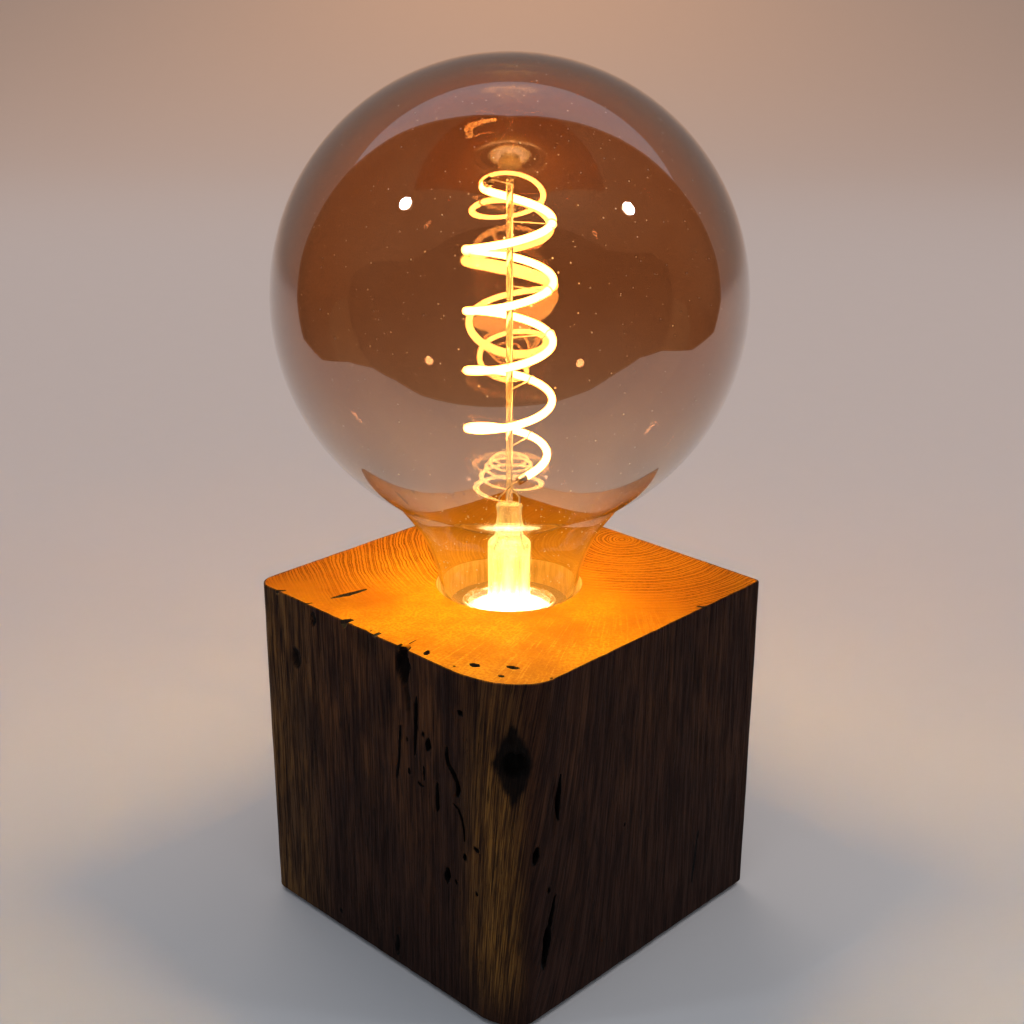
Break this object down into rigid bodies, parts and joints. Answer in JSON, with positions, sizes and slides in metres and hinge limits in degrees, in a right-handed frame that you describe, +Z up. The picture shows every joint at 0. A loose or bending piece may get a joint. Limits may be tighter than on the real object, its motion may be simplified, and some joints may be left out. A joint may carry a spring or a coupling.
{
  "type": "bare bulb table lamp",
  "caption": "Cube of old oak with a lamp holder sunk in its top and a large smoked globe bulb with a spiral light strand standing bare in it.",
  "frame": {"origin": "on the bulb's axis, in the plane under the foot pads", "axes": "+Z up along the bulb, -Y the front face with the waney corner at +X, +Y the back face with the cord inlet"},
  "size_m": [0.125, 0.125, 0.2438],
  "materials": {
    "oak": "sawn and sanded old oak, dark on the sides",
    "felt": "felt pad",
    "base_plastic": "fine matte",
    "zinc_steel": "zinc plated",
    "holder_plastic": "moulded thermoplastic",
    "steatite": "unglazed",
    "contact_brass": "pressed sheet",
    "smoked_glass": "blown, thin smoke metal coat",
    "cap_nickel": "nickel plated sheet",
    "cap_insulation": "black glass insulation",
    "solder": "dull solder",
    "circuit_board": "lacquered board",
    "capacitor_can": "sleeved can",
    "clear_glass": "clear glass",
    "filament": "silicone coated light strand, lit",
    "wire": "drawn wire"
  },
  "bodies": {
    "lamp": {"wood_block": "oak", "foot_pads": "felt", "base_cover": "base_plastic", "cover_screws": "zinc_steel", "cable_bushing": "base_plastic", "threaded_tube": "zinc_steel", "tube_nut": "zinc_steel", "tube_washer": "zinc_steel", "holder_cap": "holder_plastic", "holder_core": "steatite", "holder_sleeve": "holder_plastic", "screw_shell": "contact_brass", "centre_contact": "contact_brass", "side_contact": "contact_brass", "terminal_blocks": "contact_brass", "terminal_screws": "zinc_steel", "locking_screw": "zinc_steel"},
    "bulb_tip": {"cap_eyelet": "solder"},
    "bulb": {"glass_globe": "smoked_glass", "cap_shell": "cap_nickel", "cap_insulator": "cap_insulation", "driver_board": "circuit_board", "driver_capacitor": "capacitor_can", "cap_wires": "wire", "glass_stem": "clear_glass", "exhaust_tube": "clear_glass", "centre_post": "clear_glass", "filament_coil": "filament", "filament_clips": "wire", "lead_wires": "wire", "support_wires": "wire"}
  },
  "joints": [
    {"name": "bulb_lift", "type": "slide", "parent": "lamp", "child": "bulb_tip", "axis": [0, 0, 1], "range_m": [0, 0.0182]},
    {"name": "bulb_turn", "type": "hinge", "parent": "bulb_tip", "child": "bulb", "pos_m": [0, 0, 0.0678], "axis": [0, 0, 1], "range_deg": [0, 1800]}
  ],
  "couplings": [
    {"joint": "bulb_lift", "follows": "bulb_turn", "m_per_rad": 0.00057757}
  ]
}
